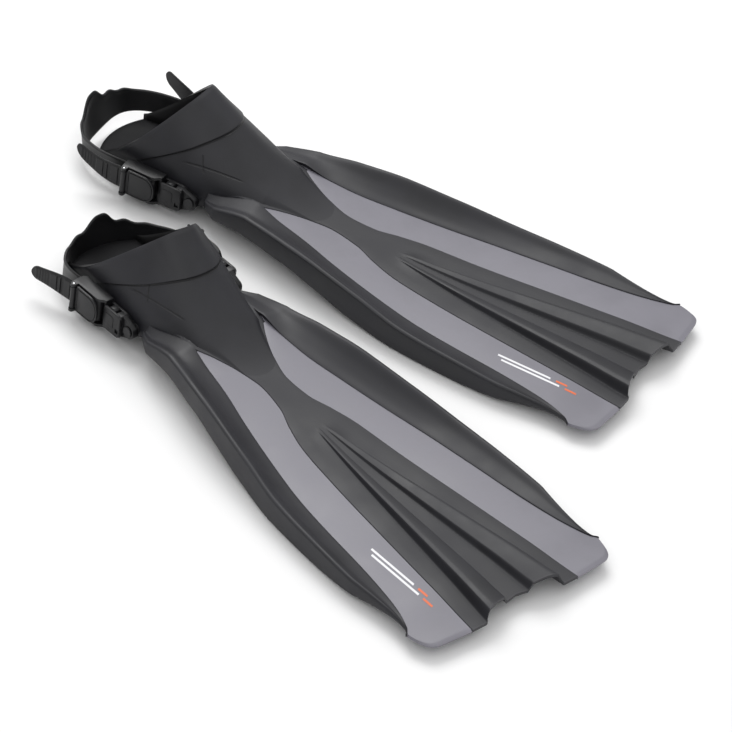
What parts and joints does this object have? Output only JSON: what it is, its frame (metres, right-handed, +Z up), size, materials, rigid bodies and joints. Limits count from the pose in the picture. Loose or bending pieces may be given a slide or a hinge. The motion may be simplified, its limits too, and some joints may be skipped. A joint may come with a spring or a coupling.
{
  "type": "pair of swim fins",
  "caption": "Pair of open-heel float-tube fins: fluted blades with side rails, foot pockets, adjustable heel straps and side-release buckles.",
  "frame": {"origin": "on the floor, below the middle of the pair's bounding box", "axes": "+X towards the blade tips along the middle line between the two fins, +Y from the near fin to the far fin, +Z up"},
  "size_m": [0.7506, 0.5626, 0.1093],
  "materials": {
    "black_rubber": "satin moulded rubber",
    "grey_panel": "satin moulded plastic",
    "strap_rubber": "satin moulded rubber",
    "black_clip": "semi-gloss moulded plastic",
    "steel_pin": "brushed"
  },
  "bodies": {
    "near_fin": {"near_flute_web": "black_rubber", "near_panel_right": "grey_panel", "near_panel_left": "grey_panel", "near_rail_right": "black_rubber", "near_rail_left": "black_rubber", "near_foot_pocket": "black_rubber", "near_collar": "black_rubber", "near_footbed": "black_rubber", "near_stud_right": "black_clip", "near_stud_left": "black_clip"},
    "near_clips": {"near_receiver_right": "black_clip", "near_receiver_left": "black_clip"},
    "near_strap": {"near_heel_strap": "strap_rubber", "near_buckle_frame_right": "black_clip", "near_buckle_frame_left": "black_clip", "near_lever_pin_right": "steel_pin", "near_lever_pin_left": "steel_pin"},
    "near_lever_right_body": {"near_lever_right": "black_clip"},
    "near_upper_arm_right_body": {"near_upper_arm_right": "black_clip"},
    "near_lower_arm_right_body": {"near_lower_arm_right": "black_clip"},
    "near_lever_left_body": {"near_lever_left": "black_clip"},
    "near_upper_arm_left_body": {"near_upper_arm_left": "black_clip"},
    "near_lower_arm_left_body": {"near_lower_arm_left": "black_clip"},
    "far_fin": {"far_flute_web": "black_rubber", "far_panel_right": "grey_panel", "far_panel_left": "grey_panel", "far_rail_right": "black_rubber", "far_rail_left": "black_rubber", "far_foot_pocket": "black_rubber", "far_collar": "black_rubber", "far_footbed": "black_rubber", "far_stud_right": "black_clip", "far_stud_left": "black_clip"},
    "far_clips": {"far_receiver_right": "black_clip", "far_receiver_left": "black_clip"},
    "far_strap": {"far_heel_strap": "strap_rubber", "far_buckle_frame_right": "black_clip", "far_buckle_frame_left": "black_clip", "far_lever_pin_right": "steel_pin", "far_lever_pin_left": "steel_pin"},
    "far_lever_right_body": {"far_lever_right": "black_clip"},
    "far_upper_arm_right_body": {"far_upper_arm_right": "black_clip"},
    "far_lower_arm_right_body": {"far_lower_arm_right": "black_clip"},
    "far_lever_left_body": {"far_lever_left": "black_clip"},
    "far_upper_arm_left_body": {"far_upper_arm_left": "black_clip"},
    "far_lower_arm_left_body": {"far_lower_arm_left": "black_clip"}
  },
  "joints": [
    {"name": "far_fin_lift", "type": "slide", "parent": "near_fin", "child": "far_fin", "axis": [0, 0, 1], "range_m": [0, 0.25]},
    {"name": "near_strap_swing", "type": "hinge", "parent": "near_fin", "child": "near_clips", "pos_m": [-0.10577, -0.09587, 0.025], "axis": [0.1582, 0.9874, 0], "range_deg": [0, 50]},
    {"name": "near_buckle_release", "type": "slide", "parent": "near_clips", "child": "near_strap", "axis": [-0.9874, 0.1582, 0], "range_m": [0, 0.03]},
    {"name": "near_lever_right_lift", "type": "hinge", "parent": "near_strap", "child": "near_lever_right_body", "pos_m": [-0.18616, -0.16026, 0.025], "axis": [0, 0, -1], "range_deg": [0, 40]},
    {"name": "near_upper_arm_right_squeeze", "type": "hinge", "parent": "near_strap", "child": "near_upper_arm_right_body", "pos_m": [-0.14698, -0.15464, 0.0318], "axis": [0.1582, 0.9874, 0], "range_deg": [0, 4], "stiffness_Nm_per_rad": 0.4},
    {"name": "near_lower_arm_right_squeeze", "type": "hinge", "parent": "near_strap", "child": "near_lower_arm_right_body", "pos_m": [-0.14698, -0.15464, 0.0182], "axis": [-0.1582, -0.9874, 0], "range_deg": [0, 4], "stiffness_Nm_per_rad": 0.4},
    {"name": "near_lever_left_lift", "type": "hinge", "parent": "near_strap", "child": "near_lever_left_body", "pos_m": [-0.16203, -0.00958, 0.025], "axis": [0, 0, 1], "range_deg": [0, 40]},
    {"name": "near_upper_arm_left_squeeze", "type": "hinge", "parent": "near_strap", "child": "near_upper_arm_left_body", "pos_m": [-0.12656, -0.02716, 0.0318], "axis": [0.1582, 0.9874, 0], "range_deg": [0, 4], "stiffness_Nm_per_rad": 0.4},
    {"name": "near_lower_arm_left_squeeze", "type": "hinge", "parent": "near_strap", "child": "near_lower_arm_left_body", "pos_m": [-0.12656, -0.02716, 0.0182], "axis": [-0.1582, -0.9874, 0], "range_deg": [0, 4], "stiffness_Nm_per_rad": 0.4},
    {"name": "far_strap_swing", "type": "hinge", "parent": "far_fin", "child": "far_clips", "pos_m": [-0.22227, 0.09587, 0.025], "axis": [-0.1582, 0.9874, 0], "range_deg": [0, 50]},
    {"name": "far_buckle_release", "type": "slide", "parent": "far_clips", "child": "far_strap", "axis": [-0.9874, -0.1582, 0], "range_m": [0, 0.03]},
    {"name": "far_lever_right_lift", "type": "hinge", "parent": "far_strap", "child": "far_lever_right_body", "pos_m": [-0.27853, 0.00958, 0.025], "axis": [0, 0, -1], "range_deg": [0, 40]},
    {"name": "far_upper_arm_right_squeeze", "type": "hinge", "parent": "far_strap", "child": "far_upper_arm_right_body", "pos_m": [-0.24306, 0.02716, 0.0318], "axis": [-0.1582, 0.9874, 0], "range_deg": [0, 4], "stiffness_Nm_per_rad": 0.4},
    {"name": "far_lower_arm_right_squeeze", "type": "hinge", "parent": "far_strap", "child": "far_lower_arm_right_body", "pos_m": [-0.24306, 0.02716, 0.0182], "axis": [0.1582, -0.9874, 0], "range_deg": [0, 4], "stiffness_Nm_per_rad": 0.4},
    {"name": "far_lever_left_lift", "type": "hinge", "parent": "far_strap", "child": "far_lever_left_body", "pos_m": [-0.30266, 0.16026, 0.025], "axis": [0, 0, 1], "range_deg": [0, 40]},
    {"name": "far_upper_arm_left_squeeze", "type": "hinge", "parent": "far_strap", "child": "far_upper_arm_left_body", "pos_m": [-0.26348, 0.15464, 0.0318], "axis": [-0.1582, 0.9874, 0], "range_deg": [0, 4], "stiffness_Nm_per_rad": 0.4},
    {"name": "far_lower_arm_left_squeeze", "type": "hinge", "parent": "far_strap", "child": "far_lower_arm_left_body", "pos_m": [-0.26348, 0.15464, 0.0182], "axis": [0.1582, -0.9874, 0], "range_deg": [0, 4], "stiffness_Nm_per_rad": 0.4}
  ],
  "couplings": [
    {"joint": "near_lower_arm_right_squeeze", "follows": "near_upper_arm_right_squeeze", "ratio": 1},
    {"joint": "near_lower_arm_left_squeeze", "follows": "near_upper_arm_left_squeeze", "ratio": 1},
    {"joint": "far_lower_arm_right_squeeze", "follows": "far_upper_arm_right_squeeze", "ratio": 1},
    {"joint": "far_lower_arm_left_squeeze", "follows": "far_upper_arm_left_squeeze", "ratio": 1}
  ]
}
